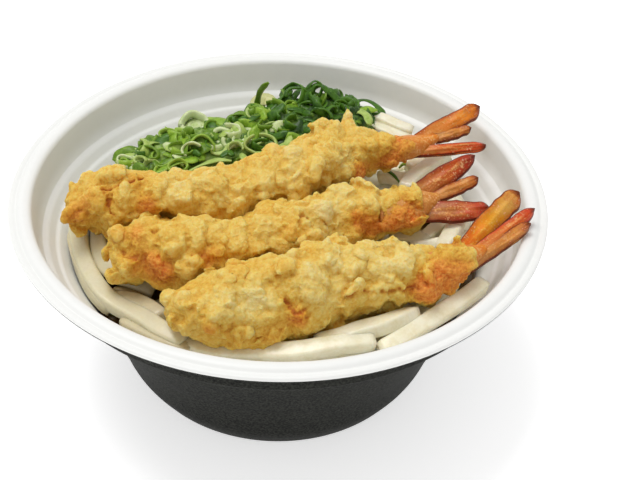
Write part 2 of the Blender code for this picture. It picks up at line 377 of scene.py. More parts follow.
# %% Broth
BROTH_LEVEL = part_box("broth")[1].z / MM
soup = Finish("dark broth", roughness=0.06, coat_weight=0.3)
cloud = soup.grain(14 * MM, 3.0)
soy = soup.done(soup.ramp(cloud, (0.3, (0.055, 0.026, 0.008)), (0.7, (0.13, 0.068, 0.022))))
CLIMB = 0.9  # how far it climbs the wall
broth_rows = [
    (0, 30.0, 0), (61.2, 30.0, 0.6), (68.9, BROTH_LEVEL + CLIMB, 0), (68.0, BROTH_LEVEL + 0.1, 0.3),
    (0, BROTH_LEVEL, 0),
]
piece("broth_surface", turned(broth_rows, 96), [soy], ["broth"])

# %% [markdown]
# ## The noodles
# Udon are cut square from a sheet of dough, about 6 mm by 5 mm, and swell to round off their corners. In the
# bowl they lie in long loose curves, one over another. The ones that show along the wall are laid first, one
# by one. Two height maps then let every other noodle be laid as a hand would drop it: the ground is what
# already lies there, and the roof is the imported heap's top, lowered under the noodles that are laid on top.

# %% Noodle finish
dough = Finish(
    "wheat noodle", specular_ior_level=0.45, coat_weight=0.35, coat_roughness=0.14,
    subsurface_weight=0.18, subsurface_radius=(0.004, 0.0028, 0.0014), subsurface_scale=0.5,
)
mottle = dough.grain(5 * MM, 3.0)
fine = dough.grain(0.9 * MM, 3.0)
plain_dough = dough.ramp(mottle * 0.7 + fine * 0.3, (0.30, (0.78, 0.71, 0.46)), (0.62, (0.92, 0.88, 0.69)))
# The broth colour is partly real broth stain and partly painted shade: it darkens the noodles low in the heap
# and along the left wall.
soak_and_shade = dough.mask(dough.measure("steeped") + (mottle - 0.5) * 0.5, 0.1, 0.95)
broth_and_shade_colour = dough.ramp(soak_and_shade, (0.35, (0.54, 0.50, 0.29)), (0.85, (0.40, 0.27, 0.10)))
wheat = dough.done(dough.blend(soak_and_shade, plain_dough, broth_and_shade_colour), 0.28 + fine * 0.2, fine, 0.15 * MM, 0.35)

# %% Maps of the heap's height
NOODLE_WIDTH = 5.8
NOODLE_HEIGHT = 4.8
STEP = 1.8 * MM  # from one drawn section of a noodle to the next
CELLS = 180
heap_tree = BVHTree.FromObject(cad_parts["noodle_heap"], bpy.context.evaluated_depsgraph_get())
ground = np.full((CELLS, CELLS), (BROTH_LEVEL - 2.5) * MM)
roof = np.zeros((CELLS, CELLS))
for row in range(CELLS):
    for column in range(CELLS):
        over = mm(column - CELLS / 2 + 0.5, row - CELLS / 2 + 0.5, 100)
        hit = heap_tree.ray_cast(over, -UP)[0]
        roof[row, column] = hit.z if hit else 0
print("the heap covers", int((roof > 0).sum() / 100), "square centimetres")


def around(point, reach):
    """The block of cells around a point, and which of them lie within reach of it."""
    column = int(point.x / MM + CELLS / 2)
    row = int(point.y / MM + CELLS / 2)
    size = int(reach / MM) + 1
    rows = slice(max(0, row - size), row + size + 1)
    columns = slice(max(0, column - size), column + size + 1)
    ys, xs = np.mgrid[rows, columns]
    far = np.hypot(xs - CELLS / 2 + 0.5 - point.x / MM, ys - CELLS / 2 + 0.5 - point.y / MM) * MM
    return (rows, columns), far < reach


def mark(heights, keep, points, reach, level):
    """Writes a noodle into a map, at a level above or below its middle."""
    for point in points:
        cells, near = around(point, reach)
        heights[cells] = np.where(near, keep(heights[cells], point.z + level), heights[cells])


# %% Laying one noodle on the others
BEND = 0.55 * MM  # the most that dough rises or falls in one step
EASE_STEPS = 9  # how many steps on each side make way for a high or a low spot


def eased(heights, pick, sign):
    """Heights whose slopes are no steeper than dough allows, raised (1) or lowered (-1) to get there."""
    count = len(heights)
    spans = [range(max(0, k - EASE_STEPS), min(count, k + EASE_STEPS + 1)) for k in range(count)]
    return [pick(heights[j] - sign * abs(j - k) * BEND for j in span) for k, span in enumerate(spans)]


def settle(points, width, height):
    """Lifts a path onto what lies under it, and keeps it below the roof."""
    lifts, caps = [], []
    for point in points:
        cells, near = around(point, width * 0.45)
        lifts.append(ground[cells][near].max() + height / 2)
        caps.append(roof[cells][near].min() - height / 2)
    laid = [min(pair) for pair in zip(eased(lifts, max, 1), eased(caps, min, -1))]
    for _ in range(3):
        before, after = [laid[0], *laid[:-1]], [*laid[1:], laid[-1]]
        laid = [(a + b * 2 + c) / 4 for a, b, c in zip(before, laid, after)]
    return [Vector((point.x, point.y, lift)) for point, lift in zip(points, laid)]


def noodle(points, width, height, steeped):
    """One noodle with cut ends, a slow twist and uneven sides, browner where the broth reached it and the
    lower it lies, which is partly painted shade.
    """
    seed = chance.uniform(0, 100)
    twist = chance.uniform(-0.5, 0.5)
    sizes, turns = [], []
    for k in range(len(points)):
        wave = noise.noise((k * 0.12, seed, 0))
        end = 0.86 if k in (0, len(points) - 1) else 1.0
        sizes.append((width * end * (1 + 0.12 * wave), height * end * (1 - 0.10 * wave)))
        turns.append(twist + 0.7 * noise.noise((k * 0.05, seed, 5)))
    bm = draw_along(points, sizes, lambda: rounded_square(0.38, 3), turns=turns)
    layer = bm.verts.layers.float.new("steeped")
    for v in bm.verts:
        v[layer] = steeped + max(0, (BROTH_LEVEL + 5 - v.co.z / MM) / 8)
    return bm


# %% The noodles laid on top, one by one
# Each is (width, height, how steeped in broth and darkened as painted shade, knots), in millimetres.
TOP_NOODLES = [
    (5.6, 4.8, 0.45, [
        (-66, 8, 55), (-68.1, -6.4, 55.5), (-66.4, -13.8, 55.5), (-64.2, -20.9, 54.5), (-60.9, -28.3, 54),
        (-57.6, -34.4, 53.5), (-53.9, -39.4, 53), (-49.5, -42.9, 52.5), (-44.5, -46.4, 53),
        (-39.1, -50.3, 53.5), (-33.8, -55, 54), (-26, -60, 54),
    ]),
    (4.4, 4.2, 0.55, [
        (-67.6, 2, 53.4), (-68.7, -11, 54), (-67.2, -17.3, 53.6), (-64.8, -23.8, 53.2),
        (-61.6, -30.4, 52.6), (-58, -36.5, 52), (-54, -41, 51.2), (-51.4, -42.6, 50),
    ]),
    (6.0, 4.6, 0.5, [
        (-60, 4, 55), (-60.2, -8, 55.8), (-59.0, -17.5, 55.6), (-55.6, -26.0, 54.8), (-51.8, -29.6, 53.8),
        (-46.0, -31.2, 52.6), (-39, -33, 50.5),
    ]),
    (5.2, 4.6, 0.5, [(-53, -4, 56), (-54.5, -13, 56.5), (-53, -20, 56), (-50.4, -26.5, 55)]),
    (5.2, 4.4, 0.6, [
        (-51.2, -39, 51.5), (-47.1, -39.8, 52), (-42.9, -42, 53), (-38.6, -45.1, 53.5), (-34.2, -49.5, 54),
    ]),
    (4.8, 4.4, 0.6, [
        (-46.5, -48.5, 50.8), (-42.2, -51.5, 51.3), (-37.3, -54.9, 51.8), (-31.7, -59.2, 52.5),
        (-24, -62.5, 52.5),
    ]),
    (4.2, 3.8, 0.9, [(-51.6, -32.9, 49.5), (-47.7, -34.7, 50), (-43.3, -36.2, 49.5)]),
    (5.2, 4.8, 0.0, [
        (22, 58, 60.5), (27.2, 55.4, 61.5), (31.7, 51, 62), (36.9, 47.3, 62.5), (42, 44.5, 62),
        (46.5, 43.7, 61),
    ]),
    (5.2, 4.8, 0.0, [
        (24, 61, 61), (30.2, 58.3, 62.5), (36.5, 53.1, 63.5), (41.3, 49.5, 63.5), (46.6, 48.1, 62.5),
    ]),
    (5.4, 4.8, 0.0, [
        (42.8, 13.6, 61.5), (45.6, 18.4, 62.5), (50, 23.4, 63.5), (54.5, 28.5, 64), (58.5, 34.7, 63),
    ]),
    (4.8, 4.4, 0.0, [(44.5, 25.7, 61.5), (48.9, 29, 62.5), (54, 31.3, 62.5), (60, 31.5, 60.5)]),
    (4.6, 4.2, 0.1, [(34, 24, 59), (37.4, 23.6, 60), (41.6, 20.8, 60.5), (45.2, 22.3, 60.5)]),
    (6.0, 6.0, -0.1, [
        (55.2, -19.1, 61), (57.4, -13.6, 61.8), (59.6, -8.2, 62.3), (61.7, -2.6, 62.3), (63.6, 4.8, 61.5),
    ]),
    (4.8, 4.4, 0.1, [
        (45, -12, 57), (49.6, -9.5, 58.5), (52.6, -6.2, 59.5), (55.8, -3.3, 60), (59.2, 1.9, 60),
    ]),
    (4.6, 4.2, 0.1, [
        (46, -14.5, 58), (50.9, -14.3, 59), (54.9, -13.7, 60), (59.5, -13.4, 60.5), (64.6, -8.7, 60),
    ]),
    (5.0, 4.4, 0.5, [(38, -6, 57), (42.5, -7.3, 58), (46.5, -9.3, 58.5), (50.4, -12.2, 58.5)]),
    (5.4, 4.6, 0.0, [
        (34, -62, 56), (42, -56, 57.5), (49.5, -50.3, 59), (54.4, -46.8, 60.3), (58.9, -43.3, 61.2),
        (63.3, -38.9, 61.5), (66.8, -34.2, 61),
    ]),
    (5.8, 4.8, 0.0, [
        (-30.7, -57.6, 52), (-22.7, -60.2, 52), (-16.4, -62, 52.5), (-10.2, -62.6, 53), (-4, -63.2, 54),
        (2.1, -64.3, 55.5), (9.7, -64.5, 57), (17.2, -63.3, 58), (24.7, -61.6, 58.5), (32, -59.7, 58),
    ]),
    (5.8, 5.0, 0.1, [
        (14, -60, 56), (21.6, -59.2, 58), (27.7, -57.1, 59.5), (33.7, -55.3, 60.2), (39.9, -52, 60.5),
        (45, -48.4, 60),
    ]),
]
noodles = bmesh.new()
for width, height, steeped, knots in TOP_NOODLES:
    path = smooth_path([mm(*knot) for knot in knots], STEP, 6)
    mark(roof, np.minimum, path, width * 0.5 * MM, -height * 0.36 * MM)
    add(noodles, noodle(path, width * MM, height * MM, steeped))
print("noodles laid on top:", len(TOP_NOODLES))

# %% The seeded rest of the heap
HEAP_NOODLES = 46
HEAP_REACH = 66
WALL_ZONE = 9  # this near the edge of the heap a noodle starts to bend along the wall
INWARDS = 0.12  # and then it heads inwards by this angle
BARE = [(-57, -23), (-55, -28), (-53, -33), (-52, -41), (-47, -36)]  # where broth shows between noodles


def wander(start, heading, length):
    """A loose curve that bends along the wall before it meets it."""
    points, bend = [start], chance.uniform(-0.03, 0.03)
    for _ in range(int(length / STEP)):
        here = points[-1]
        bend = bend * 0.93 + chance.uniform(-0.012, 0.012)
        heading += bend
        if here.xy.length > (HEAP_REACH - WALL_ZONE) * MM:
            round_wall = math.atan2(here.y, here.x) + math.tau / 4
            off = (heading - round_wall + math.pi) % math.tau - math.pi
            target = INWARDS if abs(off) < math.tau / 4 else math.pi * math.copysign(1, off) - INWARDS
            heading += 0.3 * (target - off)
        points.append(here + Vector((math.cos(heading), math.sin(heading), 0)) * STEP)
    return points


def fits(points):
    """Whether a path stays over the heap and clear of the bare spots."""
    bare = any((point.xy - mm(*spot)).length < 6.5 * MM for point in points for spot in BARE)
    return not bare and all(roof[around(point, 3 * MM)[0]].min() > 0 for point in points)


laid = 0
while laid < HEAP_NOODLES:
    turn, reach = chance.uniform(0, math.tau), math.sqrt(chance.random()) * HEAP_REACH
    begin = mm(math.cos(turn) * reach, math.sin(turn) * reach, 0)
    path = wander(begin, chance.uniform(0, math.tau), chance.uniform(80, 170) * MM)
    if fits(path):
        path = settle(path, NOODLE_WIDTH * MM, NOODLE_HEIGHT * MM)
        mark(ground, np.maximum, path, NOODLE_WIDTH * 0.5 * MM, NOODLE_HEIGHT * 0.42 * MM)
        add(noodles, noodle(path, NOODLE_WIDTH * MM, NOODLE_HEIGHT * MM, chance.uniform(-0.2, 0.25)))
        laid += 1
piece("udon_noodles", noodles, [wheat], ["noodle_heap"])
print("noodles laid by chance:", laid)

# %% The middle of the heap
# Further in, where one noodle cannot be told from the next, a smaller lump of the same dough fills the heap.
# It is coloured as fully steeped in broth, and this dark brown also paints the shade in the gaps over it.
CORE_SHARE = 0.8
core = merged_copy("noodle_heap")
steeped = core.verts.layers.float.new("steeped")
heap_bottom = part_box("noodle_heap")[0].z
for v in core.verts:
    v.co = Vector((v.co.x * CORE_SHARE, v.co.y * CORE_SHARE, mix(heap_bottom, v.co.z, CORE_SHARE)))
    v[steeped] = 1.0
piece("noodle_core", core, [wheat])
# %% [markdown]
# ## The batter
# Tempura batter is dripped over the prawns in hot oil, where drops set on drops into knobs, flakes and ragged
# skirts. It is made in the same way here. The imported solid is pulled in a little. The largest knobs, which
# give each prawn its look, are listed one by one, and seeded drops and crumbs go between them. A voxel remesh
# fuses them into one skin, which is then puffed and roughened. Where the crust has split, the skin is
# pushed in along a line. How proud each point stands is kept on the mesh: crests fry pale and crevices stay
# amber, and the darker amber in the crevices is also painted shade. Where batter lay thin over the prawn it
# is amber too, and where it lay thick it is cream.
#
# Batter also ran over the last ring of each shell and set there as a thin ragged coat. So that ring is drawn
# first, as one tapering section along a path, and a slightly larger one is fused into the crust.

# %% Batter finish
crisp = Finish(
    "fried batter", specular_ior_level=0.28,
    subsurface_weight=0.40, subsurface_radius=(0.008, 0.005, 0.002), subsurface_scale=0.5,
)
crest = crisp.measure("crest")
tone = crisp.measure("tone")
split = crisp.measure("split")
toast = crisp.grain(9 * MM, 3.0)
crumb = crisp.grain(0.9 * MM, 4.0)
# Low crest values give the darker, redder end of the ramps: partly the batter's own colour, partly painted
# shade in the hollows.
share = crest * 0.74 + toast * 0.48 + crumb * 0.62 - 0.45 - tone * 0.24
golden = crisp.ramp(
    share,
    (0.10, (0.52, 0.175, 0.010)),
    (0.28, (0.70, 0.350, 0.034)),
    (0.46, (0.79, 0.495, 0.080)),
    (0.64, (0.82, 0.595, 0.155)),
    (0.86, (0.85, 0.700, 0.300)),
)
amber = crisp.ramp(
    share,
    (0.10, (0.52, 0.150, 0.010)),
    (0.45, (0.76, 0.370, 0.038)),
    (0.80, (0.86, 0.570, 0.150)),
)
thin = crisp.mask(tone + toast * 0.5, 0.50, 0.95)
crust_colour = crisp.blend(thin, golden, amber)
blush = tone * 0.75 + (toast - 0.5) * 1.5 - crest * 0.8 + crumb * 0.5
through = crisp.mask(blush * 0.5, 0.10, 0.46, 0.95)
prawn_colour = crisp.ramp(crumb, (0.35, (0.70, 0.165, 0.012)), (0.62, (0.88, 0.38, 0.070)))
browned = crisp.blend(through, crust_colour, prawn_colour)
torn = crisp.mask(split, 0.30, 0.95, 0.62)
batter_colour = crisp.blend(torn, browned, (0.42, 0.085, 0.006))
fried = crisp.done(batter_colour, 0.40 + crumb * 0.30, crumb, 0.8 * MM, 0.9)

# %% The last ring of each shell
# Each ring is drawn through rows of (x, y, z, radius), in millimetres.
RINGS = {
    "back": [
        (33, 22.4, 71.2, 5.3), (38, 22.8, 71.8, 4.9), (43, 23.8, 72.4, 4.4), (49.2, 26.4, 73, 3.3),
        (54, 28.6, 74.2, 1.2),
    ],
    "middle": [
        (33, -8.2, 67.4, 6.2), (38, -7.4, 67.8, 6.3), (43, -6, 68.3, 5.8), (48, -4, 69.2, 4.6),
        (53.5, -2.2, 70.6, 1.6),
    ],
    "front": [
        (46, -38.5, 67.0, 6.6), (52, -37.2, 68.6, 6.4), (57, -35.0, 70.0, 5.4), (61, -32.4, 70.7, 3.8),
        (66.5, -28.6, 71.2, 1.4),
    ],
}
# How many rows of its ring each coat of batter covers, and how thick it is there.
COATS = {"back": (3, 0.5), "middle": (4, 0.7), "front": (4, 0.8)}
SHELL_SIDES = 26


def shell_ring(rows, thicker=0):
    """A tapering ring of shell through its rows, or a coat over it that is thicker than it by so much."""
    path = smooth_path([mm(*row[:3]) for row in rows], 0.7 * MM, 4)
    sizes = []
    for k in range(len(path)):
        place = k / (len(path) - 1) * (len(rows) - 1)
        low = min(int(place), len(rows) - 2)
        radius = (mix(rows[low][3], rows[low + 1][3], place - low) + thicker) * MM
        sizes.append((radius * 2, radius * 1.9))
    bm = draw_along(path, sizes, lambda: round_section(SHELL_SIDES))
    along = bm.verts.layers.float.new("along")
    across = bm.verts.layers.float.new("across")
    bm.verts.layers.float.new("edge")
    run = path[-1] - path[0]
    for v in bm.verts:
        v[along] = min(1.0, max(0.0, (v.co - path[0]).dot(run) / run.length_squared)) * 0.6
        off = v.co - path[len(path) // 2]
        v[across] = math.atan2(off.z, off.y)
        v.co += off.normalized() * noise.noise(Vector((v.co.x * 0.4, v.co.y, v.co.z)) / (2.2 * MM)) * 0.5 * MM
    return bm


# %% The knobs that give each prawn its look
# Each knob is (x, y, z, radius, tone) in millimetres. Tone 1 is thin and amber, -1 is thick and cream.
KNOBS = {
    "back": [
        (-56, -7, 80, 4.7, -0.2), (-60, -18, 76, 4.8, 0.35), (-66, -21, 70, 3.6, 0.6),
        (-48, -17, 78, 4.2, -0.2), (-46, -12, 80, 2.6, 0.6), (-42, -19, 74, 3.2, 1.2),
        (-36, -10, 80, 3.3, -0.3), (-31, -14, 79, 5.0, -0.8), (-24, -10, 80, 3.9, -0.4),
        (-14, 0, 80, 2.7, 0.4), (-8, 1, 81, 3.0, 0.1), (-6, -6, 80, 4.6, -0.4), (3, 7, 81, 4.4, -0.5),
        (4, -5, 75, 2.7, -0.5), (16, 3, 72, 2.4, 0.1), (20, 5, 73, 3.4, 0.3), (27, 11, 69, 3.4, 1.2),
        (24, 14, 77, 4.1, -0.1), (16, 8, 81, 4.4, -0.2), (30, 18, 79, 2.8, 0.0),
        (-17, -15, 75, 3.9, -0.2), (-11, -12, 77, 3.9, -0.1), (10, 0, 80, 4.0, -0.2),
    ],
    "middle": [
        (-43, -34, 75, 3.9, 0.6), (-50, -32, 74, 2.4, 0.3), (-44, -41, 67, 4.3, -0.3),
        (-26, -45, 69, 4.5, -0.3), (-33, -35, 77, 6.9, -0.3), (-23, -36, 76, 5.0, 0.0),
        (-28, -27, 78, 4.4, -0.3), (-11, -31, 77, 4.4, -0.1), (-4, -28, 77, 4.1, -0.3),
        (1, -20, 78, 2.9, 0.2), (9, -12, 76, 2.5, 0.2), (22, -8, 78, 4.8, -0.7), (15, -20, 76, 4.8, -1.0),
        (30, -11, 75, 3.6, -0.3), (5, -29, 75, 3.0, 0.6), (-38, -40, 70, 3.1, 0.5),
        (-34, -43, 67, 3.4, 1.3), (-18, -40, 72, 3.7, 0.6), (-11, -36, 74, 3.1, 0.1),
        (26, -17, 73, 2.8, 0.9),
    ],
    "front": [
        (-11, -51, 77, 4.4, 0.3), (3, -50, 80, 3.6, 0.0), (-13, -63, 73, 6.6, -0.8),
        (-4, -60, 74, 4.6, -0.8), (14, -54, 75, 6.4, -0.9), (17, -58, 66, 4.4, -0.1),
        (-25, -65, 65, 3.5, -0.5), (-17, -67, 67, 2.7, 1.0), (-9, -66, 62, 3.3, 0.4),
        (0, -64, 62, 3.6, 0.5), (29, -36, 77, 2.7, -0.4), (24, -46, 78, 4.9, -0.4),
        (33, -46, 76, 4.5, -0.7), (39, -44, 77, 3.1, -0.5), (45, -42, 75, 3.9, -0.4),
        (39, -50, 69, 3.7, 0.2), (31, -51, 66, 3.9, 0.2), (25, -53, 64, 3.1, -0.1),
        (-25, -61, 73, 2.9, -0.3), (46, -49, 64, 4.4, -0.3), (51, -46, 64, 3.8, -0.2),
        (56, -43, 66, 3.2, 0.1), (41, -51, 64, 3.6, 0.0), (8, -44, 80, 3.0, 0.0),
        (17, -44, 80, 3.2, -0.3), (44, -37, 76, 2.6, -0.2), (9, -61, 68, 3.0, 0.9),
    ],
}
# Stains are toned in the same way, but have no knob of their own.
STAINS = {
    "back": [
        (27, 11, 69, 4, 0.6), (32, 19, 72, 5, 0.3), (-62, -22, 66, 4, 0.1), (36, 18, 70, 4.5, 0.9),
        (40, 20, 71, 4, 1.1), (44, 22, 71, 4, 1.3), (38, 24, 75, 3.4, 1.0), (43, 25, 75, 3.6, 1.3),
        (47, 24, 74, 3, 1.2),
    ],
    "middle": [
        (-40, -44, 66, 5, 0.9), (32, -8, 70, 4, 0.3), (28, -17, 68, 4, 0.8), (34, -17, 68, 4, 1.3),
        (40, -16, 68, 4, 1.4), (44, -12, 69, 4, 1.1), (41, -9, 73, 3.6, 0.6), (47, -8, 70, 3.4, 0.9),
        (-44, -41, 71, 3.0, 0.45), (-22, -40, 72, 2.8, 0.4),
    ],
    "front": [
        (48, -48, 68, 3.2, 1.8), (45, -44, 68, 4, 0.7), (9, -62, 66, 4, 0.4), (50, -44, 69, 6, 1.1),
        (54, -41, 70, 5, 1.3), (59, -37, 70, 4, 1.4), (55, -33, 74.5, 3, 1.0), (60, -31, 73.5, 2, 1.2),
    ],
}
# Spikes are drips that set as they ran: where each starts, where it ends, and its radius at the start.
SPIKES = {
    "back": [((22, 27, 78), (21.8, 32, 82.4), 3.0), ((12, 20, 79), (11.6, 23, 82.6), 2.0)],
    "middle": [((-20, -43, 70), (-19, -46, 66), 2.2)],
    "front": [((37, -37.5, 75), (36.5, -35.8, 81.4), 2.4), ((20, -38, 78), (19, -35, 80), 2.2)],
}
# Splits run through these places.
SPLITS = {
    "back": [
        [(-44, -12, 80), (-50, -14, 79), (-56, -16, 78), (-55, -19, 76), (-52, -22, 72)],
        [(-5, -13, 75), (0, -10, 74)], [(12, 1, 78), (16, 1, 75)],
    ],
    "middle": [
        [(-51, -34, 72), (-47, -38, 70.5), (-43, -39, 70)], [(-25, -41, 73), (-22, -41, 73)],
        [(7, -24, 78), (17, -22, 73)],
    ],
    "front": [
        [(5, -58, 74), (8, -61, 70), (12, -59, 70), (17, -58, 70), (24, -55, 71), (27, -51, 72)],
        [(27, -52, 71), (36, -50, 70), (44, -48, 70), (48, -47, 71)], [(4, -64, 68), (5, -64, 64)],
    ],
}

# %% Drops on drops
PULL_IN = 1.5 * MM
DROPS = 64
CRUMBS = 80
VOXEL = 0.5 * MM
SPLIT_WIDTH = 0.95 * MM
WIDE_PUFFS = (9.0, 2.6)  # how far apart swellings are and how high they rise, in millimetres
SMALL_PUFFS = (4.4, 0.8)


def corners(face):
    """The corners of a face as plain numbers, in an order that depends only on where they lie."""
    return sorted(tuple(v.co) for v in face.verts)


def on_skin(faces, areas):
    """A random spot on the skin, and which way the skin faces there."""
    face = chance.choices(faces, areas)[0]
    a, b = sorted((chance.random(), chance.random()))
    first, second, third = (Vector(corner) for corner in corners(face))
    return first * a + second * (b - a) + third * (1 - b), face.normal.copy()


def drop(bm, spot, facing, radius, flat, long):
    """A drop of batter on the skin: flattened against it, and drawn out along it."""
    stand = facing.to_track_quat("Z", "Y").to_matrix().to_4x4()
    turn = Matrix.Rotation(chance.uniform(0, math.tau), 4, "Z")
    shape = Matrix.Diagonal((radius * long, radius, radius * flat, 1))
    place = Matrix.Translation(spot) @ stand @ turn @ shape
    for v in bmesh.ops.create_icosphere(bm, subdivisions=2, radius=1, matrix=place)["verts"]:
        v.co += (v.co - spot) * 0.5 * noise.noise(v.co / (radius * 0.8))


def drip(bm, start, end, radius):
    """A drip that thins out from start to end."""
    run = end - start
    stand = run.to_track_quat("Z", "Y").to_matrix().to_4x4()
    bmesh.ops.create_cone(
        bm, cap_ends=True, segments=10, radius1=radius, radius2=0.5 * MM, depth=run.length,
        matrix=Matrix.Translation((start + end) / 2) @ stand,
    )


def dripped(which):
    """A packed batter solid and its coat, pulled in and set all over with knobs, drops, crumbs and spikes."""
    bm = merged_copy(f"prawn_{which}_batter")
    rows, thick = COATS[which]
    add(bm, shell_ring(RINGS[which][:rows], thick + PULL_IN / MM))
    bmesh.ops.poke(bm, faces=[face for face in bm.faces if len(face.verts) > 4])
    bmesh.ops.triangulate(bm, faces=bm.faces, quad_method="SHORT_EDGE")
    bm.normal_update()
    tree = BVHTree.FromBMesh(bm)
    for v in bm.verts:
        v.co -= v.normal * PULL_IN
    bm.normal_update()
    skin = sorted(bm.faces, key=corners)  # an extruded shape lists its faces in a new order on every run
    areas = [face.calc_area() for face in skin]
    lit_patch_colour = [on_skin(skin, areas) for _ in range(DROPS + CRUMBS)]
    for x, y, z, radius, _ in KNOBS[which]:
        spot, facing, _, _ = tree.find_nearest(mm(x, y, z))
        drop(bm, spot - facing * radius * 0.62 * MM, facing, radius * MM, 0.78, chance.uniform(1.0, 1.25))
    for spot, facing in lit_patch_colour[:DROPS]:
        radius = mix(2.2, 5.2, chance.random() ** 1.2) * MM
        seat = spot - facing * radius * 0.10
        drop(bm, seat, facing, radius, chance.uniform(0.34, 0.55), chance.uniform(1.0, 1.6))
    for spot, facing in lit_patch_colour[DROPS:]:
        seat = spot + facing * chance.uniform(-0.2, 0.7) * MM
        drop(bm, seat, facing, chance.uniform(0.7, 1.6) * MM, 0.7, chance.uniform(1.0, 1.8))
    for start, end, radius in SPIKES[which]:
        drip(bm, mm(*start), mm(*end), radius * MM)
    return bm


def fused(bm):
    """One skin over everything in a bmesh, as evenly spaced points."""
    mesh = bpy.data.meshes.new("drops")
    bm.to_mesh(mesh)
    bm.free()
    loose = bpy.data.objects.new("drops", mesh)
    bpy.context.scene.collection.objects.link(loose)
    remesh = loose.modifiers.new("fuse", "REMESH")
    remesh.mode = "VOXEL"
    remesh.voxel_size = VOXEL
    skin = bmesh.new()
    skin.from_object(loose, bpy.context.evaluated_depsgraph_get())
    bpy.data.objects.remove(loose)
    bpy.data.meshes.remove(mesh)
    return skin


# %% Puffing and splitting the crust
def soften(bm, times, factor):
    """Moves every point towards the middle of its neighbours, a number of times."""
    axes = {"use_axis_x": True, "use_axis_y": True, "use_axis_z": True}
    for _ in range(times):
        bmesh.ops.smooth_vert(bm, verts=bm.verts, factor=factor, **axes)


def puff(place, size):
    """Round swellings with sharp creases between them, from 0 at a crease."""
    return abs(noise.noise(place / (size * MM)))


def near_lines(points, lines, width):
    """From 1 on the lines to 0 away from them, for each of many points."""
    close = np.zeros(len(points))
    for line in lines:
        for place in smooth_path([mm(*knot) for knot in line], 0.8 * MM):
            wobble = noise.noise_vector(place / (2.5 * MM)) * 1.2 * MM
            far = np.linalg.norm(points - np.array(place + wobble), axis=1)
            close = np.maximum(close, np.exp(-((far / width) ** 2)))
    return close


def crisped(skin, knobs, splits):
    """Puffs, splits and roughens the skin, and keeps its looks on it. The thick end took more colour."""
    soften(skin, 1, 0.5)
    skin.normal_update()
    points = np.array([v.co for v in skin.verts])
    gap = near_lines(points, splits, SPLIT_WIDTH)
    tones = np.zeros(len(points))
    for x, y, z, radius, tone in knobs:
        far = np.linalg.norm(points - np.array(mm(x, y, z)), axis=1)
        tones += tone * np.exp(-((far / (radius * 1.25 * MM)) ** 2))
    tones += np.interp(points[:, 0], (points[:, 0].min(), points[:, 0].max()), (0.12, -0.35))
    for v, opened in zip(skin.verts, gap):
        swell = puff(v.co, WIDE_PUFFS[0]) * WIDE_PUFFS[1]
        swell += puff(v.co + mm(40, 0, 0), SMALL_PUFFS[0]) * SMALL_PUFFS[1]
        ragged = noise.fractal(v.co / (2.0 * MM), 0.7, 2.2, 4) * 0.46
        v.co += v.normal * (swell - 0.75 + ragged - opened * 1.2) * MM
    even = skin.copy()
    soften(even, 14, 0.6)
    skin.normal_update()
    proud = skin.verts.layers.float.new("crest")
    toned = skin.verts.layers.float.new("tone")
    cut = skin.verts.layers.float.new("split")
    low, high = points[:, 2].min(), points[:, 2].max()
    for v, flat, tone, opened in zip(skin.verts, even.verts, tones, gap):
        # The lowest part of the crust is toned amber: partly where it lay on the wet noodles, partly as
        # painted shade under the prawns.
        soak_and_shade = max(0.0, (mix(low, high, 0.30) - v.co.z) / (high - low))
        v[proud] = min(1.0, max(0.0, 0.5 + (v.co - flat.co).dot(v.normal) / (2.6 * MM) - opened * 0.3))
        v[toned] = tone + soak_and_shade
        v[cut] = opened
    even.free()
    return skin


for which in KNOBS:
    crust = crisped(fused(dripped(which)), KNOBS[which] + STAINS[which], SPLITS[which])
    piece(f"tempura_{which}_batter", crust, [fried], [f"prawn_{which}_batter"])

# %% [markdown]
# ## The tails
# The last ring of a prawn's shell is left on, with its fan, so that it can be picked up. Frying turns it
# from grey to orange and red. Each blade of the fan starts as a flat grid, which is drawn out to a paddle
# with ribs and a frayed rim, and then given its thickness. The blades overlap at their roots, as a closed
# fan does, and run into the ring. Their colour runs along them in streaks, so each blade keeps how far along
# it and how far across it every point lies.

# %% Shell finishes
def shell_finish(name, root, middle, tip, margin, mottle=0.45, lit_patch_colour=(0.80, 0.42, 0.12)):
    """Shell that turns from one colour to the next along its length, with deeper margins, a dark rim, painted
    lit patches and painted glints.
    """
    made = Finish(
        name, coat_weight=0.08, coat_roughness=0.16, specular_ior_level=0.16,
        subsurface_weight=0.20, subsurface_radius=(0.003, 0.0011, 0.0003), subsurface_scale=0.5,
    )
    along = made.measure("along")
    edge = made.measure("edge")
    lanes = made.node("CombineXYZ", {}, {"X": along * 3.4, "Y": made.measure("across") * 1.9})
    streak = made.node("TexNoise", {}, {"Vector": lanes, "Scale": 1.0, "Detail": 3.0}, "Fac")
    patch = made.grain(3.0 * MM, 4.0)
    fine = made.grain(0.7 * MM, 4.0)
    reach = along + (streak - 0.5) * 0.5 + (patch - 0.5) * mottle
    body = made.ramp(reach, (0.08, root), (0.5, middle), (0.92, tip))
    # Painted lit patches: brighter orange where light would shine on and through the shell.
    painted_lit_patch = made.mask(streak * 0.5 + patch * 0.25 + fine * 0.35, 0.54, 0.66, 0.75)
    deep = made.mask(edge * 0.7 + (patch - 0.5) * 0.9 + (fine - 0.5) * 0.5, 0.22, 0.60, 0.85)
    # Painted glints: pale flecks that stand for wet highlights on the shell.
    painted_glint = made.mask(fine * 0.7 + patch * 0.4, 0.63, 0.71, 0.7)
    rim = made.mask(edge + (fine - 0.5) * 0.20, 0.80, 0.93, 0.9)
    colour = made.blend(painted_lit_patch, body, lit_patch_colour)
    for share, over in ((deep, margin), (painted_glint, (0.88, 0.50, 0.24)), (rim, (0.11, 0.018, 0.005))):
        colour = made.blend(share, colour, over)
    relief = streak * 0.3 + patch * 0.5 + fine * 0.35
    return made.done(colour, 0.26 + fine * 0.26, relief, 0.6 * MM, 0.7)


ORANGE, RED, DARK_RED, MOTTLED, AMBER, TAN = range(6)
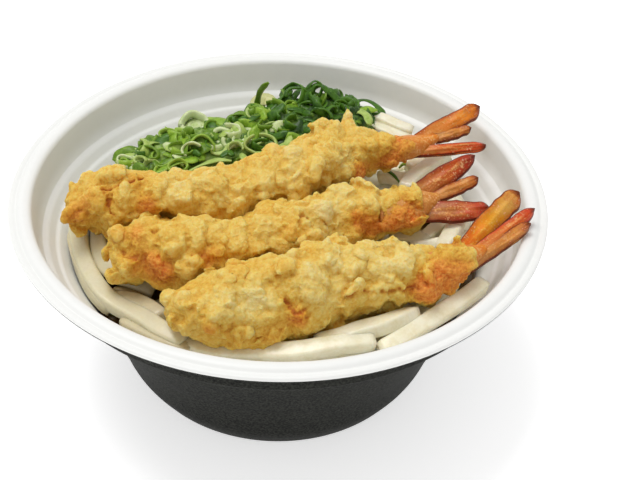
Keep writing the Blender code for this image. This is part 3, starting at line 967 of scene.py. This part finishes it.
# Each row is (name, root, middle, tip, margin), and some add how strongly they are mottled, and the colour of
# their painted lit patches.
SHELLS = [
    ("orange shell", (0.70, 0.27, 0.060), (0.70, 0.20, 0.020), (0.86, 0.28, 0.012), (0.42, 0.070, 0.010)),
    ("red shell", (0.72, 0.27, 0.07), (0.68, 0.15, 0.022), (0.66, 0.09, 0.016), (0.52, 0.035, 0.010), 0.6),
    ("dark red shell", (0.50, 0.20, 0.045), (0.52, 0.10, 0.014), (0.50, 0.035, 0.010), (0.26, 0.020, 0.006)),
    ("mottled shell", (0.40, 0.17, 0.06), (0.50, 0.15, 0.04), (0.66, 0.06, 0.014), (0.34, 0.03, 0.012), 0.8),
    (
        "amber shell", (0.78, 0.17, 0.012), (0.80, 0.32, 0.014), (0.70, 0.45, 0.12), (0.56, 0.110, 0.008),
        0.3, (0.88, 0.50, 0.06),
    ),
    ("tan shell", (0.68, 0.31, 0.09), (0.60, 0.22, 0.040), (0.68, 0.24, 0.04), (0.36, 0.065, 0.012)),
]
TAIL_FINISHES = [shell_finish(*row) for row in SHELLS]

# %% A blade of the fan
BLADE_LONG = 44  # cells along the grid, and across it
BLADE_WIDE = 20
CUP = 0.8  # how deep a blade is dished, in millimetres
THICK = 0.9


def outline(t, root, end):
    """Half the width of a blade along its length, from its share at the root to its share before the tip."""
    swell = mix(root, 1.0, math.sin(min(1.0, t / 0.45) * math.tau / 4))
    narrowing = mix(1.0, end, max(0.0, (t - 0.45) / 0.55) ** 1.2)
    tip = max(0.0, t - 0.84) / 0.16
    return swell * narrowing * math.sqrt(max(0.03, 1 - tip * tip))


def blade(root, tip, half_width, turn, at_root, at_end):
    """One paddle from root to tip, turned about its own length by turn degrees towards the front."""
    root, tip = mm(*root), mm(*tip)
    along = (tip - root).normalized()
    side = Matrix.Rotation(math.radians(turn), 3, along) @ along.cross(UP).normalized()
    out = side.cross(along)
    seed = chance.uniform(0, 50)
    bm = bmesh.new()
    bmesh.ops.create_grid(bm, x_segments=BLADE_LONG, y_segments=BLADE_WIDE, size=1)
    layers = [bm.verts.layers.float.new(name) for name in ("along", "across", "edge")]
    for v in bm.verts:
        t, across = (v.co.x + 1) / 2, v.co.y
        fray = 1 + 0.13 * noise.noise((t * 9, seed, across * 0.6)) * min(1, t * 2)
        ribs = 0.10 * math.cos(across * 9 + seed) * (1 - across * across)
        buckle = 0.7 * noise.noise((t * 4.5, across * 1.3, seed + 9))
        lift = (CUP * (1 - across * across) + ribs + buckle) * min(1, t * 3) - 0.5 * math.sin(t * math.pi)
        for layer, kept in zip(layers, (t, across + seed, max(abs(across) ** 1.5, (t - 0.6) / 0.4))):
            v[layer] = kept
        sideways = side * across * outline(t, at_root, at_end) * fray * half_width * MM
        v.co = root + (tip - root) * t + sideways + out * lift * MM
    bmesh.ops.solidify(bm, geom=bm.faces[:], thickness=THICK * MM)
    bmesh.ops.recalc_face_normals(bm, faces=bm.faces)
    return bm


# %% Three tails
# A blade is (root, tip, half width, turn in degrees, share at its root, share at its end, finish). The
# places and the width are in millimetres.
TAILS = {
    "back": (
        ORANGE,
        [
            ((46.0, 25.6, 73.6), (69.0, 40.4, 80.2), 3.3, 38, 0.75, 0.85, ORANGE),
            ((53.0, 28.0, 74.2), (65.8, 32.4, 76.4), 1.9, 35, 0.8, 0.75, TAN),
            ((45.0, 22.7, 71.8), (70.6, 23.6, 75.2), 1.9, 45, 0.9, 0.8, RED),
        ],
    ),
    "middle": (
        TAN,
        [
            ((45.0, -1.6, 69.8), (65.4, 12.4, 78.4), 3.9, 38, 0.95, 0.48, DARK_RED),
            ((52, -1.4, 70.4), (66.4, 3.8, 75.2), 2.2, 35, 0.8, 0.8, TAN),
            ((46.0, -7.2, 68.2), (69.8, -8.6, 71.8), 3.7, 35, 0.8, 0.7, MOTTLED),
        ],
    ),
    "front": (
        ORANGE,
        [
            ((60.0, -28.9, 70.6), (78.6, -6.2, 77.4), 3.8, 38, 0.7, 0.95, AMBER),
            ((62.0, -32.0, 70.2), (83.2, -13.6, 76.3), 2.4, 30, 0.8, 0.8, RED),
            ((61.5, -34.6, 68.8), (81.5, -18.8, 74.3), 2.3, 40, 0.9, 0.8, TAN),
        ],
    ),
}
for which, (ring_finish, fan) in TAILS.items():
    tail = bmesh.new()
    shapes = [(shell_ring(RINGS[which]), ring_finish)] + [(blade(*row[:6]), row[6]) for row in fan]
    for shape, finish in shapes:
        start = len(tail.faces)
        add(tail, shape)
        tail.faces.ensure_lookup_table()
        for face in tail.faces[start:]:
            face.material_index = finish
    piece(f"tail_{which}", tail, TAIL_FINISHES, [f"prawn_{which}_tail"])

# %% [markdown]
# ## The spring onion
# The ridge behind the prawns is cut from whole stalks: slit rings and thick pale slices from the stem, and
# deep green leaf ends that curl up on the right. They are wet and soft, and lie pressed together. A cut
# ring is a strip drawn along a nearly closed arc, so that it can be slit, squashed and opened. Its section
# knows which side was inside the stem, and that side is paler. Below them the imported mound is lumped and
# lowered a little, and carries the same greens.

# %% Onion finishes
def leaf(name, dark, light, inside):
    """A wet green skin with soft streaks, paler on the side that was inside."""
    made = Finish(
        name, specular_ior_level=0.25, coat_weight=0.10, coat_roughness=0.14,
        subsurface_weight=0.08, subsurface_radius=(0.002, 0.003, 0.0006), subsurface_scale=0.5,
    )
    streak = made.grain(2.6 * MM, 3.0)
    vein = made.grain(0.7 * MM, 2.0)
    skin = made.ramp(streak * 0.65 + vein * 0.35, (0.34, dark), (0.62, light))
    colour = made.blend(made.measure("inner") * 0.9, skin, inside)
    return made.done(colour, 0.26 + vein * 0.2, vein, 0.25 * MM, 0.5)


DARK, MID, BRIGHT, LIGHT, PALE, CREAM = range(6)
GREENS = [  # dark and light outside, and inside
    ("deep green leaf", (0.014, 0.062, 0.004), (0.075, 0.190, 0.012), (0.100, 0.230, 0.018)),
    ("green leaf", (0.070, 0.160, 0.006), (0.180, 0.320, 0.022), (0.230, 0.380, 0.040)),
    ("bright green stem", (0.140, 0.290, 0.010), (0.320, 0.500, 0.042), (0.400, 0.560, 0.100)),
    ("light green stem", (0.280, 0.420, 0.060), (0.470, 0.600, 0.160), (0.540, 0.660, 0.240)),
    ("pale stem", (0.440, 0.560, 0.190), (0.680, 0.760, 0.420), (0.720, 0.790, 0.480)),
    ("cream stem end", (0.460, 0.480, 0.160), (0.660, 0.640, 0.300), (0.700, 0.700, 0.400)),
]
ONION_FINISHES = [leaf(*row) for row in GREENS]
onions = bmesh.new()
count_of_cuts = 0


def strew(bm, finish):
    """Adds one cut piece of onion in one of the greens."""
    global count_of_cuts
    start = len(onions.faces)
    add(onions, bm)
    onions.faces.ensure_lookup_table()
    for face in onions.faces[start:]:
        face.material_index = finish
    count_of_cuts += 1


# %% Slit rings and leaf strips
LEAF_THICK = 0.7 * MM


def leaf_section(axis):
    """The outline of a strip, on which the low side of one axis was the inside of the stem."""
    bm = rounded_square(0.6, 1)
    inner = bm.verts.layers.float.new("inner")
    for v in bm.verts:
        v[inner] = 0.5 - v.co[axis] / 2
    return bm


def curl(centre, radius, length, axis, open_by, squeeze, wall):
    """A cut ring of stem about its axis, slit open by some degrees and squashed."""
    stand = Vector(axis).to_track_quat("Z", "Y").to_matrix()
    start = chance.uniform(0, 360)
    seed = chance.uniform(0, 50)
    steps = max(10, int(radius * 6))
    path, sizes = [], []
    for k in range(steps + 1):
        angle = math.radians(start + (360 - open_by) * k / steps)
        out = radius * (1 + 0.22 * noise.noise((math.cos(angle) * 0.9, math.sin(angle) * 0.9, seed)))
        spot = mm(math.cos(angle) * out, math.sin(angle) * out * squeeze, 0.5 * math.sin(angle * 2 + seed))
        path.append(mm(*centre) + stand @ spot)
        uneven = 1 + 0.25 * noise.noise((angle, seed, 3))
        sizes.append((wall * MM * uneven, length * MM * uneven))
    return draw_along(path, sizes, lambda: leaf_section(0), stand @ UP)


def strip(knots, width, up=UP):
    """A slit leaf along a path, twisting a little and tapering at both ends."""
    path = smooth_path([mm(*knot) for knot in knots], 0.8 * MM)
    last = len(path) - 1
    taper = [min(1, 0.5 + 0.2 * min(k, last - k)) for k in range(last + 1)]
    widths = [width * MM * (1 + 0.25 * noise.noise(p / (4 * MM))) * t for p, t in zip(path, taper)]
    turns = [noise.noise(p / (7 * MM)) for p in path]
    return draw_along(path, [(w, LEAF_THICK) for w in widths], lambda: leaf_section(1), up, turns)


# %% The pieces that can be told apart
UPRIGHT, TO_FRONT = (0.1, -0.45, 1.0), (0.15, -0.9, 0.6)
CURLS = [  # centre, radius, length, axis, open by, squeeze, wall, finish
    ((-56, 22, 62), 3.4, 2.6, (-0.3, -0.5, 1.0), 80, 0.6, 1.0, PALE),
    ((-51.5, 19.5, 62.5), 3.2, 2.6, (0.3, -0.5, 1.0), 120, 0.6, 1.0, LIGHT),
    ((-48.5, 23, 63.4), 3.6, 2.4, (0.0, -0.6, 1.0), 60, 0.6, 1.1, PALE),
    ((-54, 17.5, 61.5), 2.8, 2.2, (0.2, -0.4, 1.0), 150, 0.6, 0.9, PALE),
    ((-45.5, 18, 63.6), 3.0, 2.2, (-0.2, -0.6, 1.0), 140, 0.6, 0.9, LIGHT),
    ((-34, 43.4, 65.0), 4.8, 5.0, (0.05, -0.55, 0.9), 0, 0.85, 2.2, PALE),
    ((-33.8, 42.8, 64.0), 2.4, 2.2, (0.05, -0.55, 0.9), 0, 0.9, 1.6, PALE),
    ((-29.4, 27.2, 66.8), 4.3, 4.6, TO_FRONT, 10, 0.85, 1.1, BRIGHT),
    ((-36.5, 14.6, 66.2), 3.3, 2.4, UPRIGHT, 20, 0.8, 1.0, BRIGHT),
    ((-41.5, 13.5, 65.0), 3.4, 2.2, UPRIGHT, 170, 0.7, 1.0, BRIGHT),
    ((-23, 33, 67.2), 3.9, 1.8, (-0.2, -0.5, 1.0), 40, 0.75, 1.6, PALE),
    ((-18.5, 30.6, 67.6), 3.6, 1.8, (0.2, -0.5, 1.0), 60, 0.7, 1.5, PALE),
    ((-14.2, 33.4, 67.6), 3.8, 1.8, (0.0, -0.4, 1.0), 40, 0.75, 1.6, PALE),
    ((-19.6, 35.8, 66.8), 3.4, 1.6, (0.1, -0.6, 1.0), 90, 0.7, 1.3, LIGHT),
    ((-18.3, 43.3, 66.6), 4.0, 3.4, (0.3, -0.8, 0.6), 120, 0.8, 1.1, MID),
    ((-17.6, 42.4, 66.2), 2.2, 2.6, (0.3, -0.8, 0.6), 30, 0.8, 0.9, LIGHT),
    ((-8, 26.4, 69.2), 5.5, 3.4, (0.0, -0.75, 0.8), 20, 0.62, 1.2, LIGHT),
    ((-8, 27.2, 68.8), 3.2, 3.0, (0.1, -0.75, 0.8), 60, 0.55, 1.0, DARK),
    ((-23.4, 26.0, 67.4), 3.2, 3.0, (0.5, -0.8, 0.6), 160, 0.7, 1.0, LIGHT),
    ((-17.4, 25.0, 68.0), 2.8, 2.2, (0.2, -0.6, 0.9), 120, 0.7, 0.9, LIGHT),
    ((-12, 38, 67.6), 3.0, 2.4, (-0.2, -0.7, 0.8), 80, 0.7, 1.0, BRIGHT),
    ((-6, 37.6, 68), 3.4, 2.4, (0.3, -0.6, 0.9), 150, 0.7, 1.0, LIGHT),
    ((-9.8, 61.2, 62.6), 4.0, 3.4, (0.1, -0.7, 0.7), 60, 0.8, 1.8, CREAM),
    ((3.4, 44, 69.0), 3.6, 2.6, (0.2, -0.7, 0.8), 30, 0.7, 1.0, DARK),
    ((3.0, 54.6, 72.4), 4.2, 1.8, (0.1, -0.9, 0.5), 60, 0.8, 1.3, DARK),
    ((8.6, 49.0, 70.0), 4.0, 2.2, (-0.2, -0.8, 0.7), 100, 0.75, 1.1, DARK),
    ((12.0, 56.0, 73.6), 2.6, 1.8, (0.0, -0.9, 0.5), 30, 0.85, 1.2, DARK),
    ((1.0, 50.0, 70.4), 2.4, 2.2, (0.3, -0.8, 0.6), 40, 0.85, 1.0, MID),
    ((9.4, 41.6, 69.4), 3.2, 2.6, (0.2, -0.7, 0.8), 60, 0.7, 1.0, DARK),
    ((-43.6, 22.6, 64.6), 3.6, 2.6, (0.3, -0.6, 0.8), 100, 0.7, 1.0, BRIGHT),
]
STRIPS = [  # knots, width, finish
    ([
        (-61.4, 26.4, 59), (-59.4, 28.2, 61), (-55.7, 29, 62.4), (-52.4, 28.6, 62.4), (-51.1, 26.4, 61.4),
    ], 3.4, MID),
    ([(-60, 23.4, 60), (-56.5, 25.6, 61.8), (-52.6, 27, 62.4)], 3.0, LIGHT),
    ([(-38, 41.4, 64), (-34, 43.6, 65.2), (-30, 42.8, 64.8)], 7.6, PALE),
    ([(-13.4, 55.8, 64.6), (-11, 59.6, 66), (-8.4, 60.6, 66.2), (-6, 57.6, 65.8)], 5.2, CREAM),
    ([(35.2, 26.6, 61), (38.7, 21.5, 62.6), (41.9, 17.6, 61)], 1.2, DARK),
    ([(41.2, 25.4, 62.4), (42.6, 26.4, 63.4), (44.6, 27.6, 62.8)], 1.6, BRIGHT),
    ([(-47, 25.6, 63), (-44, 29.6, 65.4), (-39.5, 30.6, 66.6), (-35, 27.6, 65.8)], 5.4, DARK),
    ([(-44, 33.0, 63.6), (-40, 33.4, 65.4), (-36, 31.0, 66.0)], 4.4, DARK),
    ([(-41.6, 36.8, 64.2), (-38.0, 38.2, 65.8), (-36.0, 36.0, 66.2)], 3.4, PALE),
    ([(-48, 13, 63), (-42, 14, 65.2), (-36, 17.4, 66.6), (-30, 18.4, 67)], 3.6, BRIGHT),
    ([(-44, 18, 64.4), (-38, 20.6, 66.4), (-32, 20.6, 67)], 4.2, MID),
    ([(-34, 11.5, 65.6), (-29, 14.4, 67.2), (-23, 17.4, 68.0), (-18, 17.8, 67.6)], 3.0, LIGHT),
    ([(-31, 11.0, 65.6), (-25, 12.6, 67.0), (-18.6, 14.6, 67.4)], 3.2, BRIGHT),
    ([(-29, 47.4, 65.6), (-25, 43.4, 67.2), (-20, 38.6, 67.0)], 4.6, BRIGHT),
    ([(-30.6, 35.6, 66.2), (-26.8, 38.4, 67.2), (-22.6, 38.8, 67.0)], 4.0, MID),
    ([(-22.4, 45.4, 65.0), (-18.0, 47.6, 67.4), (-13.8, 44.4, 67.4)], 3.4, MID),
    ([(-15.0, 21.6, 68), (-13.2, 17.4, 68.6), (-11.6, 14.6, 68.2)], 2.6, LIGHT),
    ([(-22, 20, 67.4), (-19.6, 22.6, 68.2), (-17.8, 20.4, 67.8)], 3.0, DARK),
    ([(-9.8, 20.8, 69.4), (-4.6, 20.0, 70.0), (0.6, 25.4, 70.2), (1.6, 31.0, 70.0)], 3.2, LIGHT),
    ([
        (-12.2, 56, 60), (-11.9, 57.4, 66), (-10.8, 56.2, 72), (-8.6, 53.8, 77.0), (-7.4, 53.4, 78.2),
    ], 2.4, MID),
    ([(-10, 47, 66), (-6.4, 49.6, 69.6), (-2.6, 54.6, 71.4), (0.6, 57.4, 71.0)], 3.6, DARK),
    ([
        (-1.5, 57, 66), (-2.0, 59.0, 70.6), (1.6, 59.0, 74.4), (5.4, 56.0, 75.0), (4.6, 51.8, 71.6),
        (0.4, 50.8, 68.6),
    ], 2.6, DARK),
    ([
        (4, 50, 67), (7.2, 54, 73.4), (10.2, 55.8, 77.0), (14.2, 55.6, 74.8), (18.4, 53.6, 71.6),
        (19.4, 50.8, 67.6), (15.0, 49.2, 66.2),
    ], 2.6, DARK),
    ([(6.4, 55.6, 74.6), (9.4, 57.0, 77.6), (12.4, 56.4, 76.0), (11.4, 53.4, 73.2)], 2.0, DARK),
    ([(9.8, 50.6, 68.4), (13.2, 53.0, 73.0), (13.8, 51.4, 74.6), (12.0, 49.4, 70.6)], 1.8, MID),
    ([(-4, 48, 67), (0.8, 50.6, 69.6), (6.0, 50.0, 70.6), (10.6, 47.8, 70.2), (15.6, 46.4, 69)], 3.4, DARK),
    ([
        (2, 43, 67.4), (6.6, 43.0, 70.0), (12.0, 42.0, 69.8), (17.0, 45.0, 69.8), (21.0, 51.0, 69.2),
        (22.6, 56.0, 68.2),
    ], 3.4, DARK),
    ([(5.0, 37.6, 69.0), (9.8, 38.0, 70.4), (14.0, 40.2, 70.0)], 3.2, DARK),
    ([
        (19.5, 52.7, 67), (23.2, 57.8, 67.8), (28.0, 61.0, 67.8), (32.4, 60.0, 66.8), (36.5, 55.8, 64.6),
    ], 2.8, DARK),
    ([(23, 52.4, 67.2), (26.6, 51.8, 68.6), (29.4, 48.6, 68.8), (30.4, 44.4, 67.6)], 3.2, LIGHT),
    ([(20.6, 49.6, 67.0), (24.2, 48.6, 67.8), (27.0, 45.8, 67.2)], 3.4, MID),
]
for *shape, finish in CURLS:
    strew(curl(*shape), finish)
for knots, width, finish in STRIPS:
    strew(strip(knots, width), finish)
print("onion pieces placed by hand:", count_of_cuts)

# %% The strewn rest of the onion
ALL_CUTS = 225  # with the ones listed one by one
CURLED = 0.6  # the share of the strewn ones that are rings
# Nothing is strewn over the largest pieces: x, y, reach.
CLEAR = [(-34.5, 42.5, 6.5), (-8, 26.4, 5.5), (-9.5, 58.5, 5), (28, 49, 4.5)]
mound = merged_copy("onion_heap")
mound.normal_update()
upper = [face for face in mound.faces if face.normal.z > 0.1]
upper_areas = [face.calc_area() for face in upper]
low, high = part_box("onion_heap")
while count_of_cuts < ALL_CUTS:
    spot, facing = on_skin(upper, upper_areas)
    if any((spot.xy - mm(x, y)).length < reach * MM for x, y, reach in CLEAR):
        continue
    tilt = Vector((chance.uniform(-0.6, 0.6), chance.uniform(-0.8, 0.3), chance.uniform(0, 0.6)))
    lean = (facing + tilt).normalized()
    right_hand = (spot.x - low.x) / (high.x - low.x)
    left_hand = max(0.0, 1 - right_hand * 1.4)
    chances = [0.3 + right_hand ** 2 * 9, 1.6, 0.2 + left_hand * 3, left_hand * 1.8, left_hand * 0.6]
    if (spot.xy - mm(-17, 32)).length < 9 * MM:
        chances = [0, 0.4, 1, 2, 2]
    finish = chance.choices([DARK, MID, BRIGHT, LIGHT, PALE], chances)[0]
    centre = (spot - facing * chance.uniform(0.6, 2.0) * MM) / MM
    if chance.random() < CURLED:
        radius, length = chance.uniform(2.2, 4.0), chance.uniform(2.4, 4.0)
        open_by, squeeze = chance.uniform(60, 220), chance.uniform(0.5, 0.8)
        strew(curl(centre, radius, length, lean, open_by, squeeze, 1.1), finish)
    else:
        flow = lean.cross(Vector((chance.uniform(-1, 1), chance.uniform(-1, 1), 0.3))).normalized()
        reach = chance.uniform(2.6, 4.8)
        knots = [centre - flow * reach, centre + lean * 0.7, centre + flow * reach - lean * 0.5]
        width = chance.uniform(2.0, 3.2) if finish == DARK else chance.uniform(3.0, 5.0)
        strew(strip(knots, width, lean), finish)
mound.free()
piece("cut_spring_onion", onions, ONION_FINISHES, ["onion_heap"])

# %% The pressed mass below
mass = Finish("pressed greens", specular_ior_level=0.3, coat_weight=0.15, coat_roughness=0.2)
tuft = mass.grain(4.5 * MM, 3.0)
shred = mass.grain(1.6 * MM, 3.0)
mixed = tuft * 0.6 + shred * 0.4 - mass.measure("far_right") * 0.16
greens = mass.ramp(
    mixed,
    (0.30, (0.020, 0.065, 0.006)),
    (0.44, (0.090, 0.180, 0.020)),
    (0.56, (0.220, 0.350, 0.055)),
    (0.72, (0.450, 0.560, 0.200)),
)
pressed = mass.done(greens, 0.34 + shred * 0.2, shred, 0.5 * MM, 0.7)
core = fused(merged_copy("onion_heap"))
core.normal_update()
far_right = core.verts.layers.float.new("far_right")
for v in core.verts:
    v[far_right] = min(1.0, max(0.0, (v.co.x / MM + 8) / 14))
    v.co += v.normal * (puff(v.co, 6.0) * 2.2 + puff(v.co + mm(30, 0, 0), 2.6) * 1.2 - 2.2) * MM
piece("onion_core", core, [pressed])
# %% [markdown]
# ## Floor, light and camera
# A plain pale floor and a soft studio. One broad light hangs high over the bowl, a little behind it and to
# its left, so that the left and back walls fall into a soft shade and the right wall is bright. A pale
# surround fills the shadows. The camera looks down into the bowl from the front.

# %% Floor
floor_finish = Finish("pale floor", roughness=0.6, emission_color=(1, 1, 1), emission_strength=0.55)
paper = floor_finish.grain(0.4, 1.0)
pale = floor_finish.done(floor_finish.blend(paper, (0.94, 0.94, 0.94), (0.97, 0.97, 0.97)))
ground_sheet = bmesh.new()
bmesh.ops.create_grid(ground_sheet, x_segments=1, y_segments=1, size=4)
floor_mesh = bpy.data.meshes.new("floor")
ground_sheet.to_mesh(floor_mesh)
ground_sheet.free()
floor_mesh.materials.append(pale)
floor = bpy.data.objects.new("floor", floor_mesh)
bpy.context.scene.collection.objects.link(floor)
floor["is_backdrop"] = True

# %% Light
SURROUND = 0.60
world = bpy.data.worlds.new("pale surround")
world.use_nodes = True
world.node_tree.nodes["Background"].inputs["Color"].default_value = (1.0, 1.0, 1.0, 1)
world.node_tree.nodes["Background"].inputs["Strength"].default_value = SURROUND
bpy.context.scene.world = world
bpy.context.scene.view_settings.view_transform = "Standard"


def soft_light(name, place, aim, size, power):
    """A square soft light that faces a point."""
    lamp = bpy.data.lights.new(name, "AREA")
    lamp.size = size
    lamp.energy = power
    made = bpy.data.objects.new(name, lamp)
    made.location = place
    made.rotation_euler = (Vector(aim) - Vector(place)).to_track_quat("-Z", "Y").to_euler()
    bpy.context.scene.collection.objects.link(made)


soft_light("overhead", (-0.55, 0.32, 2.10), (0, 0, 0.05), 1.1, 25.0)

# %% Camera
EYE = Vector((0.01416, -0.32351, 0.31058))
LOOK_DOWN = 39.04
LEAN = 2.64
lens = bpy.data.cameras.new("eye")
lens.sensor_width = 36
lens.lens = 67.18
eye = bpy.data.objects.new("eye", lens)
tip_forward = Matrix.Rotation(math.radians(90 - LOOK_DOWN), 4, "X")
roll = Matrix.Rotation(math.radians(LEAN), 4, "Z")
eye.matrix_world = Matrix.Translation(EYE) @ tip_forward @ roll
bpy.context.scene.collection.objects.link(eye)
bpy.context.scene.camera = eye

# %% Sizes, and the end
made_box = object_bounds()
sizes = {"cad": [list(corner) for corner in cad_box], "visual": [list(corner) for corner in made_box]}
for name, (bottom, top) in sizes.items():
    print(name, [round((high - low) / MM, 1) for low, high in zip(bottom, top)])
